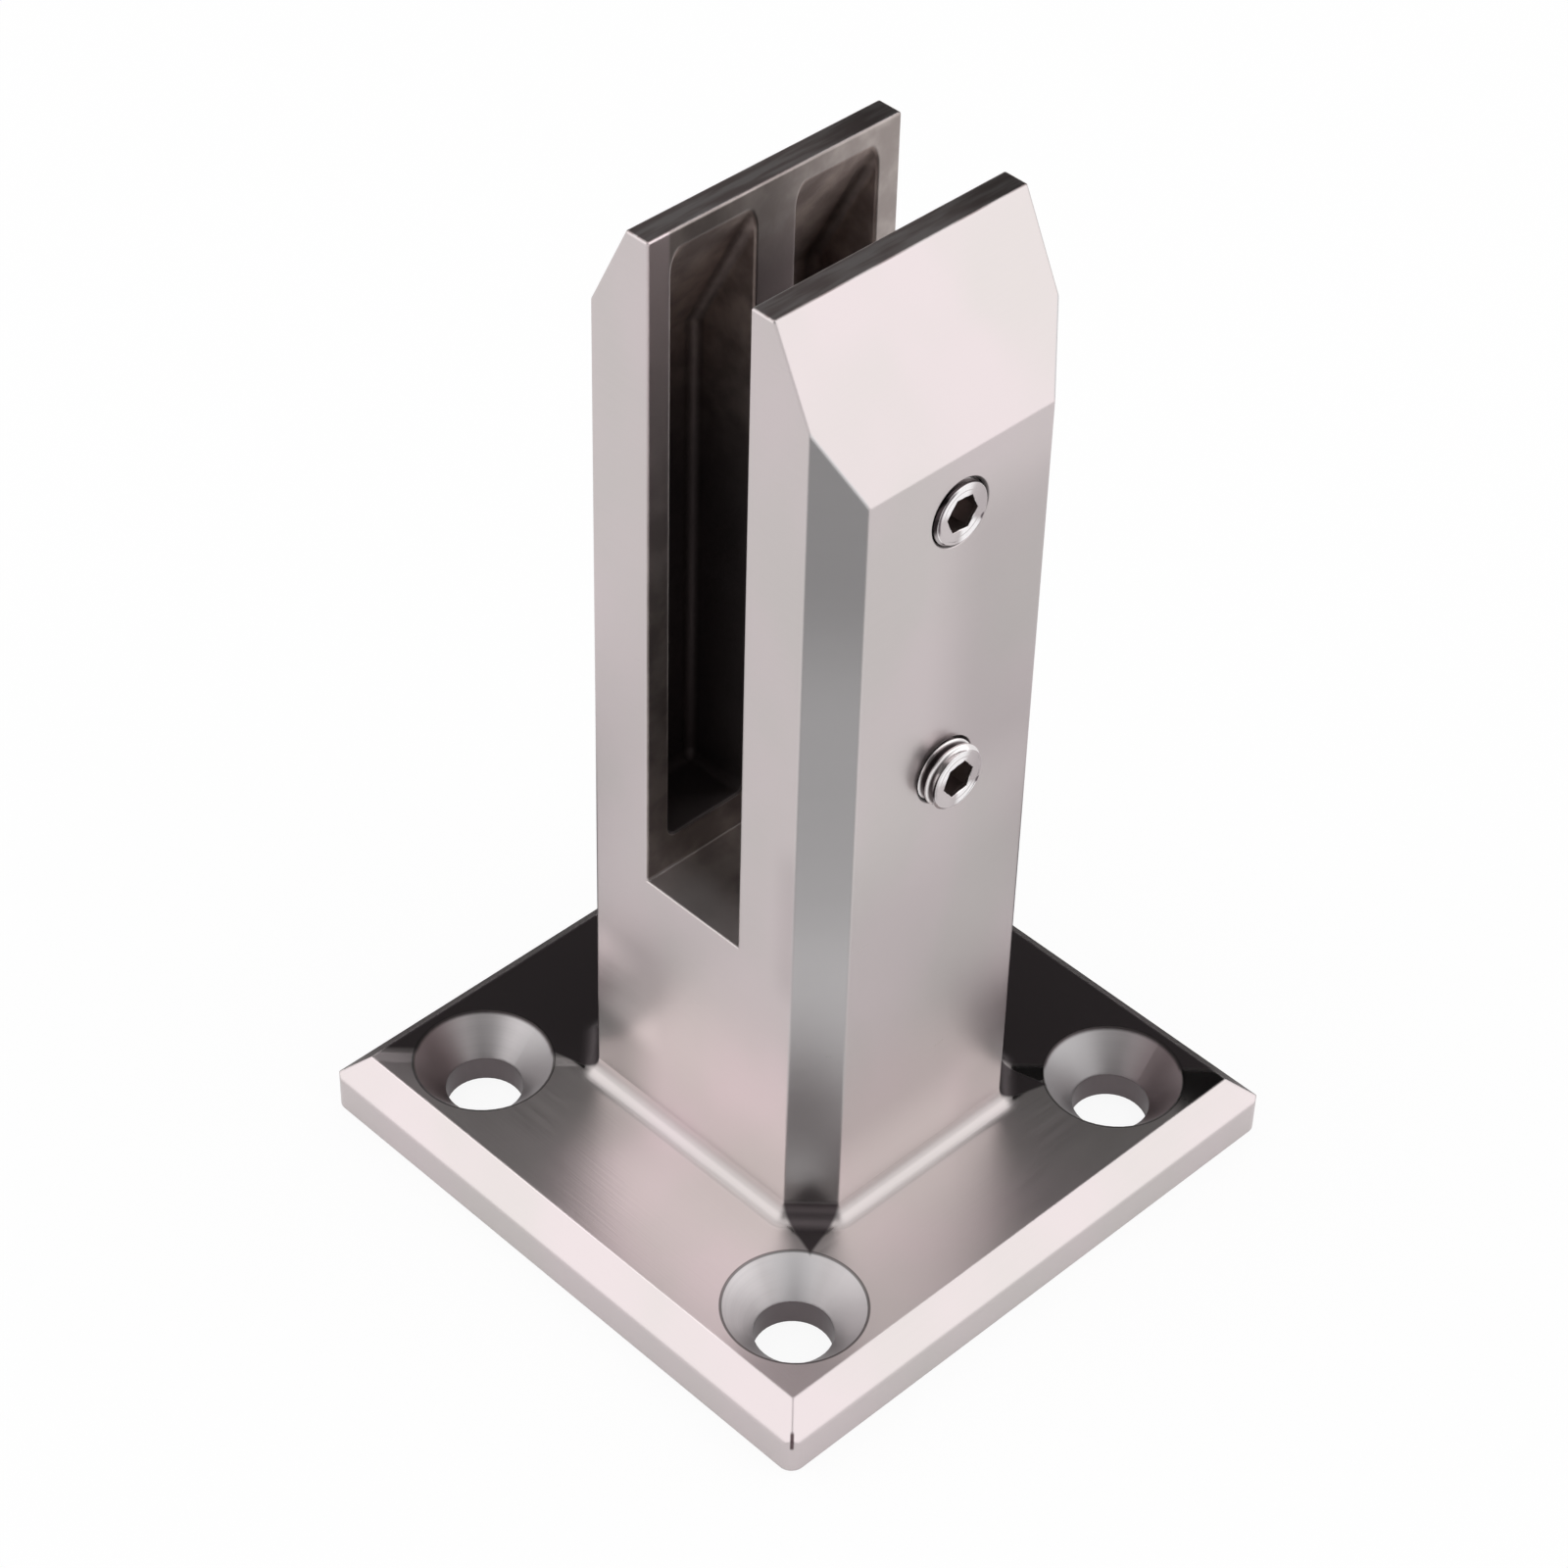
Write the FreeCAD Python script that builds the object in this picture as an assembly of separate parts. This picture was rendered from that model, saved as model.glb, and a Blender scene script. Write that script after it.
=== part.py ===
import FreeCAD, Part
import math
import os

# Square balustrade spigot that clamps the bottom edge of a glass panel.
# Row frame: origin at the middle of the underside, +Z up, +X along the glass, -Y the screw face.
# Every length is in millimetres and every angle in degrees.

# Base plate
base_side = 100.0
base_thickness = 10.0
base_bevel_run = 4.2
base_bevel_drop = 4.0
base_corner_radius = 2.2
base_shoulder_round = 1.6
base_under_chamfer = 0.3

# Countersunk fixing holes in the plate
fixing_pitch = 67.5
fixing_hole_diameter = 11.8
countersink_diameter = 21.2
countersink_depth = 5.6

# Post above the plate, chamfered on its four corners
post_width = 45.4
post_depth = 51.4
post_corner_chamfer = 5.7
post_edge_round = 0.5
post_height = 165.6
foot_fillet = 3.0

# Two ears with a slot between them for the glass and its liners
slot_width = 18.6
slot_floor_height = 56.6
ear_land = 4.1
ear_bevel_height = 25.1
ear_arris_round = 0.4

# Cored pockets behind the inner face of each ear
pocket_side_rim = 4.2
pocket_top_rim = 3.0
pocket_bottom_rim = 6.0
pocket_back_wall = 5.2
pocket_back_round = 1.6
pocket_mouth_chamfer = 0.3
rib_width = 7.4
boss_diameter = 17.0

# Core under the post that keeps the casting's walls even
core_wall = 5.6
core_roof = 6.0
core_corner_radius = 4.0
core_draft_angle = 1.0

# Hex-socket grub screws, all but their fine thread
screw_diameter = 10.0
screw_thread_clearance = 0.05
screw_length = 16.0
screw_end_chamfer = 0.9
screw_socket_flats = 5.0
screw_socket_depth = 5.0
screw_cup_diameter = 5.5
screw_cup_depth = 1.6
bore_mouth_chamfer = 0.3
upper_screw_height = 131.2
upper_screw_proud = 0.4
lower_screw_height = 87.0
lower_screw_proud = 2.7

# Long enough for a cutting body to pass right through what it cuts
cut_margin = 5.0

# Two lengths or places closer than this are the same
TOUCH = 1e-6
# Two faces that meet at less than this many radians run smoothly into each other
SMOOTH_ANGLE = 0.05

X_AXIS = FreeCAD.Vector(1, 0, 0)
Y_AXIS = FreeCAD.Vector(0, 1, 0)
Z_AXIS = FreeCAD.Vector(0, 0, 1)
half_width = post_width / 2
half_depth = post_depth / 2
half_slot = slot_width / 2
ear_bevel_foot = post_height - ear_bevel_height
bevel_lean = (half_depth - half_slot - ear_land) / ear_bevel_height


def polygon_face(points):
    """Planar face inside straight edges through the points."""
    return Part.Face(Part.makePolygon(points + [points[0]]))


def frustum(low_size, high_size, start, end):
    """Block centred on the Z axis whose (x, y) size changes evenly from one height to another."""
    x, y = low_size[0] / 2, low_size[1] / 2
    top_x, top_y = high_size[0] / 2, high_size[1] / 2
    block = Part.makeWedge(-x, start, -y, -top_y, -top_x, x, end, y, top_y, top_x)
    block.rotate(FreeCAD.Vector(0, 0, 0), X_AXIS, 90)
    return block


def is_along(edge, axis):
    """True for a straight edge that runs along the axis."""
    if not isinstance(edge.Curve, Part.Line):
        return False
    return abs(abs(edge.Curve.Direction.dot(axis)) - 1) < TOUCH


def sharp_edges(body, lowest):
    """Edges above a height where two faces meet at an angle."""
    found = []
    for edge in body.Edges:
        faces = body.ancestorsOfType(edge, Part.Face)
        middle = edge.valueAt((edge.FirstParameter + edge.LastParameter) / 2)
        if len(faces) != 2 or middle.z < lowest:
            continue
        normals = [face.normalAt(*face.Surface.parameter(middle)) for face in faces]
        if normals[0].getAngle(normals[1]) > SMOOTH_ANGLE:
            found.append(edge)
    return found


def prism_along_x(points, start, length):
    """Body with a (y, z) outline, extruded along X."""
    face = polygon_face([FreeCAD.Vector(start, y, z) for y, z in points])
    return face.extrude(X_AXIS * length)


def cylinder_along_y(radius, start, end, height):
    """Cylinder on the middle plane of the post, from one y to another."""
    base = FreeCAD.Vector(0, start, height)
    return Part.makeCylinder(radius, end - start, base, Y_AXIS)


def make_bevelled_bar():
    """Bar along X as wide as the plate, with a bevel along both sides of its top."""
    half_side = base_side / 2
    half_top = half_side - base_bevel_run
    shoulder = base_thickness - base_bevel_drop
    outline = [(-half_side, 0), (half_side, 0), (half_side, shoulder)]
    outline += [(half_top, base_thickness), (-half_top, base_thickness), (-half_side, shoulder)]
    bar = prism_along_x(outline, -half_side, base_side)
    shoulders = []
    for edge in bar.Edges:
        if is_along(edge, X_AXIS) and abs(edge.CenterOfMass.z - shoulder) < TOUCH:
            shoulders.append(edge)
    return bar.makeFillet(base_shoulder_round, shoulders)


def make_base_plate():
    """Square plate with round upright corners and a wide mitred bevel round its top."""
    corner = FreeCAD.Vector(-base_side / 2, -base_side / 2, 0)
    slab = Part.makeBox(base_side, base_side, base_thickness, corner)
    uprights = [edge for edge in slab.Edges if is_along(edge, Z_AXIS)]
    slab = slab.makeFillet(base_corner_radius, uprights)
    along = make_bevelled_bar()
    across = make_bevelled_bar()
    across.rotate(FreeCAD.Vector(0, 0, 0), Z_AXIS, 90)
    plate = slab.common(along).common(across)
    under_edges = [edge for edge in plate.Edges if edge.BoundBox.ZMax < TOUCH]
    return plate.makeChamfer(base_under_chamfer, under_edges)


def make_post():
    """Bar with four chamfered corners, split by the glass slot into two bevelled ears."""
    bar = Part.makeBox(post_width, post_depth, post_height, FreeCAD.Vector(-half_width, -half_depth, 0))
    corners = [edge for edge in bar.Edges if is_along(edge, Z_AXIS)]
    bar = bar.makeChamfer(post_corner_chamfer, corners)
    arrises = [edge for edge in bar.Edges if is_along(edge, Z_AXIS)]
    bar = bar.makeFillet(post_edge_round, arrises)
    for side in (-1, 1):
        bar = bar.cut(ear_bevel_cutter(side))
    slot_place = FreeCAD.Vector(-half_width - cut_margin, -half_slot, slot_floor_height)
    slot = Part.makeBox(post_width + 2 * cut_margin, slot_width, post_height, slot_place)
    bar = bar.cut(slot)
    return bar.makeFillet(ear_arris_round, sharp_edges(bar, slot_floor_height + TOUCH))


def ear_bevel_cutter(side):
    """Wedge outside the steep outer bevel of the ear on one side, -1 near or +1 far."""
    beyond = half_depth + cut_margin
    above = post_height + cut_margin
    low = ear_bevel_foot - cut_margin / bevel_lean
    high_y = half_slot + ear_land - cut_margin * bevel_lean
    points = [(side * beyond, low), (side * beyond, above), (side * high_y, above)]
    return prism_along_x(points, -half_width - cut_margin, post_width + 2 * cut_margin)


def pocket_cutter(side, start, end):
    """Core of one tall pocket between two x places: a leaning back above, an upright one below."""
    back = half_depth - pocket_back_wall
    top = post_height - pocket_top_rim
    bend = top - (back - half_slot) / bevel_lean
    bottom = slot_floor_height + pocket_bottom_rim
    mouth = half_slot - cut_margin
    outline = [(mouth, bottom), (back, bottom), (back, bend), (half_slot, top), (mouth, top)]
    core = prism_along_x([(side * y, z) for y, z in outline], start, end - start)
    back_edges = [edge for edge in core.Edges if side * edge.CenterOfMass.y > half_slot + TOUCH]
    return core.makeFillet(pocket_back_round, back_edges)


def make_pockets(side):
    """Both pockets of one ear, left and right of its rib."""
    inner = rib_width / 2
    outer = half_width - pocket_side_rim
    left = pocket_cutter(side, -outer, -inner)
    right = pocket_cutter(side, inner, outer)
    return [left, right]


def make_core():
    """Hollow under the post, open below, with a slight draft."""
    roof = slot_floor_height - core_roof
    shrink = 2 * roof * math.tan(math.radians(core_draft_angle))
    width = post_width - 2 * core_wall
    depth = post_depth - 2 * core_wall
    core = frustum((width, depth), (width - shrink, depth - shrink), 0, roof)
    corners = [edge for edge in core.Edges if edge.BoundBox.ZLength > TOUCH]
    return core.makeFillet(core_corner_radius, corners)


def make_fixing_hole(x, y):
    """Through hole with its countersink, to be cut from the plate."""
    place = FreeCAD.Vector(x, y, -cut_margin)
    shank = Part.makeCylinder(fixing_hole_diameter / 2, base_thickness + 2 * cut_margin, place)
    flare = (countersink_diameter - fixing_hole_diameter) / 2 / countersink_depth
    sunk_foot = FreeCAD.Vector(x, y, base_thickness - countersink_depth)
    sunk_top = countersink_diameter / 2 + cut_margin * flare
    sunk = Part.makeCone(fixing_hole_diameter / 2, sunk_top, countersink_depth + cut_margin, sunk_foot)
    return shank.fuse(sunk)


def make_screw_bore(height):
    """Threaded bore through the near ear, at the thread's outer size, with a broken mouth edge."""
    radius = screw_diameter / 2 + screw_thread_clearance
    bore = cylinder_along_y(radius, -half_depth - cut_margin, -half_slot + cut_margin, height)
    mouth = FreeCAD.Vector(0, -half_depth + bore_mouth_chamfer, height)
    wide = radius + bore_mouth_chamfer + cut_margin
    flare = Part.makeCone(radius, wide, bore_mouth_chamfer + cut_margin, mouth, -Y_AXIS)
    return bore.fuse(flare)


def make_boss(height):
    """Round boss that carries a bore across the pockets, from the inner face into the outer wall."""
    return cylinder_along_y(boss_diameter / 2, -half_depth, -half_slot, height)


def soften_pocket_mouths(body):
    """Broken edge where the far ear's pockets open through its inner face."""
    mouth_edges = []
    for edge in sharp_edges(body, slot_floor_height + TOUCH):
        box = edge.BoundBox
        on_face = abs(box.YMin - half_slot) < TOUCH and abs(box.YMax - half_slot) < TOUCH
        if on_face and max(abs(box.XMin), abs(box.XMax)) < half_width - pocket_side_rim + TOUCH:
            mouth_edges.append(edge)
    return body.makeChamfer(pocket_mouth_chamfer, mouth_edges)


def make_casting():
    """Plate, post, ears, pockets, core and holes, all one casting."""
    body = make_base_plate().fuse(make_post()).removeSplitter()
    foot = []
    for edge in body.Edges:
        box = edge.BoundBox
        level = abs(box.ZMin - base_thickness) < TOUCH and abs(box.ZMax - base_thickness) < TOUCH
        across = max(abs(box.XMin), abs(box.XMax)) < half_width + TOUCH
        along = max(abs(box.YMin), abs(box.YMax)) < half_depth + TOUCH
        if level and across and along:
            foot.append(edge)
    body = body.makeFillet(foot_fillet, foot)
    for pocket in make_pockets(1):
        body = body.cut(pocket)
    body = soften_pocket_mouths(body)
    for pocket in make_pockets(-1):
        for height in (upper_screw_height, lower_screw_height):
            pocket = pocket.cut(make_boss(height))
        body = body.cut(pocket)
    body = body.cut(make_core())
    for x in (-fixing_pitch / 2, fixing_pitch / 2):
        for y in (-fixing_pitch / 2, fixing_pitch / 2):
            body = body.cut(make_fixing_hole(x, y))
    for height in (upper_screw_height, lower_screw_height):
        body = body.cut(make_screw_bore(height))
    return body


def make_grub_screw(height, proud):
    """Set screw with a hex socket at its outer end and a cup at its inner end."""
    radius = screw_diameter / 2
    outer_end = -half_depth - proud
    inner_end = outer_end + screw_length
    chamfer = screw_end_chamfer
    profile = [
        (0, outer_end),
        (radius - chamfer, outer_end),
        (radius, outer_end + chamfer),
        (radius, inner_end - chamfer),
        (radius - chamfer, inner_end),
        (screw_cup_diameter / 2, inner_end),
        (0, inner_end - screw_cup_depth),
    ]
    face = polygon_face([FreeCAD.Vector(x, y, 0) for x, y in profile])
    body = face.revolve(FreeCAD.Vector(0, 0, 0), Y_AXIS, 360)
    across_corners = screw_socket_flats / math.cos(math.radians(30))
    corners = []
    for step in range(6):
        angle = math.radians(60 * step)
        x = across_corners / 2 * math.cos(angle)
        z = across_corners / 2 * math.sin(angle)
        corners.append(FreeCAD.Vector(x, outer_end, z))
    socket = polygon_face(corners).extrude(Y_AXIS * screw_socket_depth)
    body = body.cut(socket)
    body.translate(Z_AXIS * height)
    return body


def save(shape, node):
    """Write one solid as parts/NODE.step."""
    solid = shape.Solids[0]
    if len(shape.Solids) != 1 or not solid.isValid():
        raise ValueError(node + " is not one valid solid")
    solid.exportStep("parts/" + node + ".step")
    print(node, "volume", round(solid.Volume), "mm3")


os.makedirs("parts", exist_ok=True)
save(make_casting(), "spigot_casting")
save(make_grub_screw(upper_screw_height, upper_screw_proud), "upper_grub_screw")
save(make_grub_screw(lower_screw_height, lower_screw_proud), "lower_grub_screw")
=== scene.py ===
import math
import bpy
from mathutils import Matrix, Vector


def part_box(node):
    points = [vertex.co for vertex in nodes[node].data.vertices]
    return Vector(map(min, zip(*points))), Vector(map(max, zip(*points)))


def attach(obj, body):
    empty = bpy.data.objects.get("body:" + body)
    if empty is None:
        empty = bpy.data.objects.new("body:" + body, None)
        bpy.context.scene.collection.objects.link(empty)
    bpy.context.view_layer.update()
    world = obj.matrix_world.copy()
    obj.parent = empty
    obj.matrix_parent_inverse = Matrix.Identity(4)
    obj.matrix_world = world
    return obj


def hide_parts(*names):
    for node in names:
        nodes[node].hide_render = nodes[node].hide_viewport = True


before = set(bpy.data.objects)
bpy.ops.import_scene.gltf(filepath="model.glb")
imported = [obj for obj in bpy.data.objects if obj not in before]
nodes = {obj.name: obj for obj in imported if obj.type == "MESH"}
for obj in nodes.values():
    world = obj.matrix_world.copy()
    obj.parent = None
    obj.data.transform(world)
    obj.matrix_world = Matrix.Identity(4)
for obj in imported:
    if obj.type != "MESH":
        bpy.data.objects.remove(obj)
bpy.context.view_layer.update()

from types import SimpleNamespace

import bmesh
import bpy
from mathutils import Matrix, Vector

# Looks of the glass panel clamp: satin brushed casting, raw cast pockets, bright threaded grub screws.
# Everything is in metres, in the row frame: +Z up, +X along the glass, -Y the screw face.

MM = 0.001
casting = nodes["spigot_casting"]

# Places that the casting's finish follows, in millimetres
SLOT_HALF = 9.3
SLOT_FLOOR = 56.6
PLATE_TOP = 10.0
HOLE_PLACE = 33.75
SINK_RADIUS = 10.6
SINK_FOOT = 4.4
SCREW_HEIGHTS = {"upper_grub_screw": 131.2, "lower_grub_screw": 87.0}
BORE_RADIUS = 5.05
POST_HALF_WIDTH = 22.7
POST_HALF_DEPTH = 25.7
FOOT_HALF_WIDTH = 25.7
FOOT_HALF_DEPTH = 28.7
V_SHADE_HALF_WIDTH = 25.1
V_SHADE_HALF_DEPTH = 28.1
CHAMFER_LEG = 5.7
CHAMFER_SUM = POST_HALF_WIDTH + POST_HALF_DEPTH - CHAMFER_LEG
POST_TOP = 165.6
EAR_BEVEL_FOOT = 140.5
EAR_BEVEL_SLOPE = 0.49
EAR_WALL = 2.75
POCKET_INNER = 3.45
POCKET_OUTER = 18.75
POCKET_FOOT = 62.3
POCKET_TOP = 163.0
CORE_HALF_WIDTH = 17.4
CORE_HALF_DEPTH = 20.4
CORE_TOP = 50.9

# Base colours of the finishes, as the two ends between which a pattern moves
SATIN_COLOURS = ((0.625, 0.553, 0.562), (0.585, 0.541, 0.532))
SATIN_LINE_COLOUR = (0.66, 0.60, 0.60)
LAND_COLOURS = ((0.420, 0.350, 0.345), (0.620, 0.570, 0.565))
MACHINED_COLOURS = ((0.330, 0.285, 0.270), (0.460, 0.405, 0.385))
CAST_COLOURS = ((0.280, 0.220, 0.205), (0.520, 0.425, 0.390))
TURNED_COLOURS = ((0.560, 0.530, 0.535), (0.660, 0.625, 0.630))

# Roughness of the finishes, also as two ends where a pattern moves it
SATIN_ROUGHNESS = (0.255, 0.335)
STRIP_ROUGHNESS = (0.34, 0.46)
BEHIND_ROUGHNESS = 0.13
FILLET_ROUGHNESS = 0.42
V_SHADE_ROUGHNESS = 0.45
LAND_ROUGHNESS = (0.43, 0.34)
MACHINED_ROUGHNESS = (0.36, 0.48)
CAST_ROUGHNESS = (0.48, 0.66)
TURNED_ROUGHNESS = 0.46
BORE_ROUGHNESS = 0.40

# Radius of the edges that are softened in shading
EDGE_SOFTNESS = 0.45 * MM
BORE_EDGE_SOFTNESS = 0.10 * MM


# Node building

class Shader:
    """A material's node tree, with short calls for the few kinds of node that it needs."""

    def __init__(self, name):
        self.material = bpy.data.materials.new(name)
        self.material.use_nodes = True
        self.tree = self.material.node_tree
        self.tree.nodes.clear()
        self.output = self.tree.nodes.new("ShaderNodeOutputMaterial")

    def node(self, kind, **settings):
        made = self.tree.nodes.new(kind)
        for key, value in settings.items():
            setattr(made, key, value)
        return made

    def feed(self, socket, value):
        if isinstance(value, bpy.types.NodeSocket):
            self.tree.links.new(value, socket)
        else:
            socket.default_value = value

    def math(self, operation, first, second=0.0, clamp=False):
        made = self.node("ShaderNodeMath", operation=operation, use_clamp=clamp)
        self.feed(made.inputs[0], first)
        self.feed(made.inputs[1], second)
        return made.outputs[0]

    def plus(self, first, second):
        return self.math("ADD", first, second)

    def minus(self, first, second):
        return self.math("SUBTRACT", first, second)

    def times(self, first, second):
        return self.math("MULTIPLY", first, second)

    def over(self, first, second):
        return self.math("DIVIDE", first, second)

    def size(self, value):
        return self.math("ABSOLUTE", value)

    def step(self, value, start, end):
        """0 before start and 1 after end, smooth between them. start may lie above end."""
        made = self.node("ShaderNodeMapRange", interpolation_type="SMOOTHSTEP")
        self.feed(made.inputs["Value"], value)
        low, high, at_low, at_high = (start, end, 0.0, 1.0) if start < end else (end, start, 1.0, 0.0)
        made.inputs["From Min"].default_value = low
        made.inputs["From Max"].default_value = high
        made.inputs["To Min"].default_value = at_low
        made.inputs["To Max"].default_value = at_high
        return made.outputs["Result"]

    def span(self, value, low, high, soft):
        """1 between low and high, falling to 0 within soft outside them."""
        return self.times(self.step(value, low - soft, low), self.step(value, high + soft, high))

    def product(self, *values):
        result = values[0]
        for value in values[1:]:
            result = self.times(result, value)
        return result

    def larger(self, *values):
        result = values[0]
        for value in values[1:]:
            result = self.math("MAXIMUM", result, value)
        return result

    def blend(self, factor, first, second):
        """Number that goes from first to second with the factor."""
        made = self.node("ShaderNodeMix", data_type="FLOAT")
        self.feed(made.inputs["Factor"], factor)
        self.feed(made.inputs["A"], first)
        self.feed(made.inputs["B"], second)
        return made.outputs["Result"]

    def colour_blend(self, factor, first, second, kind="MIX"):
        made = self.node("ShaderNodeMix", data_type="RGBA", blend_type=kind)
        self.feed(made.inputs[0], factor)
        self.feed(made.inputs[6], first if isinstance(first, bpy.types.NodeSocket) else (*first, 1.0))
        self.feed(made.inputs[7], second if isinstance(second, bpy.types.NodeSocket) else (*second, 1.0))
        return made.outputs[2]

    def paint(self, colour, zones):
        """Colour with the colour of each zone laid over it, in the order given."""
        for zone, laid_over in zones:
            colour = self.colour_blend(zone, colour, laid_over)
        return colour

    def vector(self, x, y, z):
        made = self.node("ShaderNodeCombineXYZ")
        for socket, value in zip(made.inputs, (x, y, z)):
            self.feed(socket, value)
        return made.outputs[0]

    def noise(self, place, scale, detail=2.0, roughness=0.5):
        made = self.node("ShaderNodeTexNoise")
        self.feed(made.inputs["Vector"], place)
        made.inputs["Scale"].default_value = scale
        made.inputs["Detail"].default_value = detail
        made.inputs["Roughness"].default_value = roughness
        return made.outputs["Fac"]

    def bump(self, height, depth, strength, normal=None):
        made = self.node("ShaderNodeBump")
        self.feed(made.inputs["Height"], height)
        made.inputs["Distance"].default_value = depth
        self.feed(made.inputs["Strength"], strength)
        if normal is not None:
            self.feed(made.inputs["Normal"], normal)
        return made.outputs["Normal"]

    def place(self):
        """Object coordinates in millimetres, as one vector and as x, y and z."""
        source = self.node("ShaderNodeTexCoord").outputs["Object"]
        scaled = self.node("ShaderNodeVectorMath", operation="SCALE")
        self.feed(scaled.inputs[0], source)
        scaled.inputs["Scale"].default_value = 1 / MM
        parts = self.node("ShaderNodeSeparateXYZ")
        self.feed(parts.inputs[0], scaled.outputs[0])
        return scaled.outputs[0], parts.outputs[0], parts.outputs[1], parts.outputs[2]

    def metres(self):
        """Object coordinates x, y and z in metres."""
        parts = self.node("ShaderNodeSeparateXYZ")
        self.feed(parts.inputs[0], self.node("ShaderNodeTexCoord").outputs["Object"])
        return parts.outputs[0], parts.outputs[1], parts.outputs[2]

    def distance(self, first, second):
        """Length of the hypotenuse over two numbers."""
        squares = self.plus(self.times(first, first), self.times(second, second))
        return self.math("SQRT", squares)

    def metal(self, colour, roughness, normal, metallic=1.0):
        made = self.node("ShaderNodeBsdfPrincipled")
        self.feed(made.inputs["Base Color"], colour)
        self.feed(made.inputs["Roughness"], roughness)
        self.feed(made.inputs["Metallic"], metallic)
        self.feed(made.inputs["Normal"], normal)
        self.feed(self.output.inputs["Surface"], made.outputs[0])
        return made

    def mixed_surface(self, share, first, second):
        """Surface that goes from the first shader to the second with the share."""
        mixed = self.node("ShaderNodeMixShader")
        self.feed(mixed.inputs[0], share)
        self.feed(mixed.inputs[1], first.outputs[0])
        self.feed(mixed.inputs[2], second.outputs[0])
        self.feed(self.output.inputs["Surface"], mixed.outputs[0])


# Casting

# Its finishes are satin, brushed, turned, machined and raw cast. The smooth zone behind
# the post may be only a reflection in the photo. Much of the light and shade at the
# photo's angle is painted over the finishes by place, in the functions whose names begin
# with painted and at the mouths of the bores. Those tints read only the object's own
# coordinates, but their values follow levels in the photo. They are no finish of the real
# part, and they show as tints from other sides.


def screw_bores(s, x, y, z):
    """Masks of the two screw bores, and of the ring round them where edges stay crisp.

    The mouth of each bore is shaded less towards its lower right, as in the photo.
    """
    bores = 0.0
    near_bores = 0.0
    for height in SCREW_HEIGHTS.values():
        rise = s.minus(z, height)
        from_axis = s.distance(x, rise)
        # Painted shade in each bore, lighter towards the lower right of its mouth
        shaded = s.blend(s.step(s.minus(rise, s.times(x, 0.3)), -3.0, 1.0), 0.15, 1.0)
        mouth = s.step(y, -POST_HALF_DEPTH + 0.15, -POST_HALF_DEPTH + 0.05)
        inside = s.step(from_axis, BORE_RADIUS + 0.45, BORE_RADIUS + 0.1)
        bores = s.larger(bores, s.times(inside, s.blend(mouth, 1.0, shaded)))
        near_bores = s.larger(near_bores, s.step(from_axis, BORE_RADIUS + 0.95, BORE_RADIUS + 0.55))
    through_ear = s.step(y, -SLOT_HALF + 0.5, -SLOT_HALF + 0.2)
    return s.times(bores, through_ear), near_bores


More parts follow.
